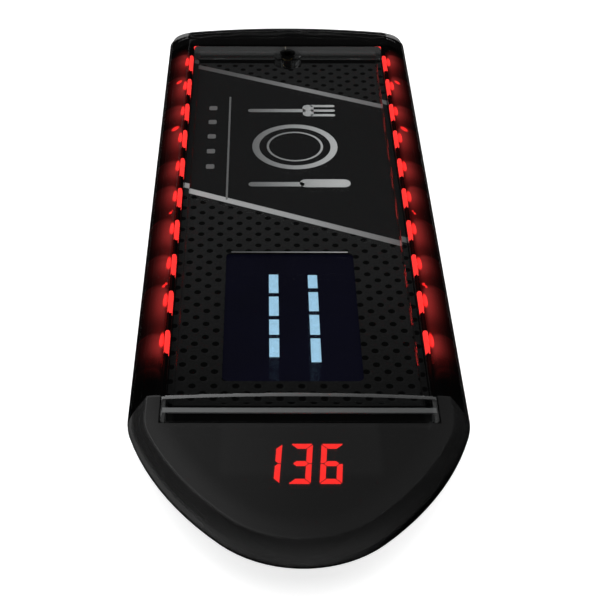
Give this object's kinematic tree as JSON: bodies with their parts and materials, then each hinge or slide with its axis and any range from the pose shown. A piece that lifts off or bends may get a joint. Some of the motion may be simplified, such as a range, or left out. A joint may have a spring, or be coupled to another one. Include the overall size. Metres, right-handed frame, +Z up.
{
  "type": "guest pager",
  "caption": "Paddle-shaped restaurant guest pager with a clear cover over an advertising card and a small screen, a lit number and rows of red lights.",
  "frame": {"origin": "middle of the footprint, on the surface that it rests on", "axes": "+Z up, +Y from the rounded display end towards the square far end, +X to the right seen from the display end"},
  "size_m": [0.0834, 0.254, 0.0198],
  "materials": {
    "smoked_shell": "smoked clear polycarbonate, polished",
    "black_hull": "fine-textured black ABS",
    "clear_acrylic": "clear polished acrylic",
    "tray_plastic": "black ABS",
    "diffuser_plastic": "red-tinted translucent liner",
    "black_rubber": "soft matt rubber",
    "foam": "closed-cell foam",
    "steel": "zinc-plated steel",
    "brass": "plain brass",
    "gold_plate": "gold-plated contact",
    "printed_card": "printed coated card",
    "grey_bar": "light grey moulding",
    "screen_glass": "polished glass, dark blue picture behind",
    "panel": "flat display panel",
    "circuit_board": "green solder mask",
    "chip_black": "moulded chip package",
    "socket_white": "off-white nylon",
    "tinned_steel": "tinned sheet",
    "display_black": "black display body",
    "lit_red": "lit red",
    "unlit_red": "unlit dark red",
    "ribbon": "amber flat cable",
    "wire": "insulated wire",
    "battery_foil": "foil pouch with tape",
    "label_paper": "plain grey label",
    "buzzer_black": "moulded sounder case"
  },
  "bodies": {
    "case": {"bottom_housing": "black_hull", "top_shell": "smoked_shell", "housing_seal": "black_rubber", "housing_screws": "steel", "threaded_inserts": "brass", "rubber_feet": "black_rubber", "blank_label": "label_paper", "charging_contacts": "gold_plate", "contact_springs": "steel", "insert_tray": "tray_plastic", "tray_screws": "steel", "ad_card": "printed_card", "window_end_bar": "grey_bar", "cover_insert": "brass", "screen_glass": "screen_glass", "screen_panel": "panel", "screen_foam": "foam", "screen_ribbon": "ribbon", "display_board": "circuit_board", "display_screws": "steel", "digit_module": "display_black", "lit_segments": "lit_red", "unlit_segments": "unlit_red", "display_socket": "socket_white", "display_ribbon": "ribbon", "right_light_board": "circuit_board", "left_light_board": "circuit_board", "right_lights": "lit_red", "left_lights": "lit_red", "right_light_diffuser": "diffuser_plastic", "left_light_diffuser": "diffuser_plastic", "light_leads": "wire", "main_board": "circuit_board", "board_screws": "steel", "board_chips": "chip_black", "radio_shield": "tinned_steel", "timing_crystal": "tinned_steel", "capacitors": "tinned_steel", "board_sockets": "socket_white", "antenna_strip": "brass", "buzzer": "buzzer_black", "battery_pack": "battery_foil", "battery_strap": "steel", "strap_screws": "steel", "battery_plug": "socket_white", "battery_leads": "wire", "motor_can": "steel", "motor_bush": "brass", "motor_boot": "black_rubber", "motor_leads": "wire"},
    "cover": {"ad_cover": "clear_acrylic"},
    "washer": {"screw_washer": "steel"},
    "screw": {"cover_screw": "steel"},
    "rotor": {"motor_shaft": "steel", "motor_weight": "steel"}
  },
  "joints": [
    {"name": "cover_lift", "type": "slide", "parent": "case", "child": "cover", "axis": [0, 0, 1], "range_m": [0, 0.03]},
    {"name": "screw_rise", "type": "slide", "parent": "cover", "child": "washer", "axis": [0, 0, 1], "range_m": [0, 0.00315]},
    {"name": "screw_turn", "type": "hinge", "parent": "washer", "child": "screw", "pos_m": [0, 0.10185, 0.0162], "axis": [0, 0, 1], "range_deg": [0, 2521]},
    {"name": "rotor_spin", "type": "hinge", "parent": "case", "child": "rotor", "pos_m": [-0.003, -0.101, 0.00635], "axis": [1, 0, 0], "continuous": true}
  ],
  "couplings": [
    {"joint": "screw_turn", "follows": "screw_rise", "rad_per_m": 13963}
  ]
}
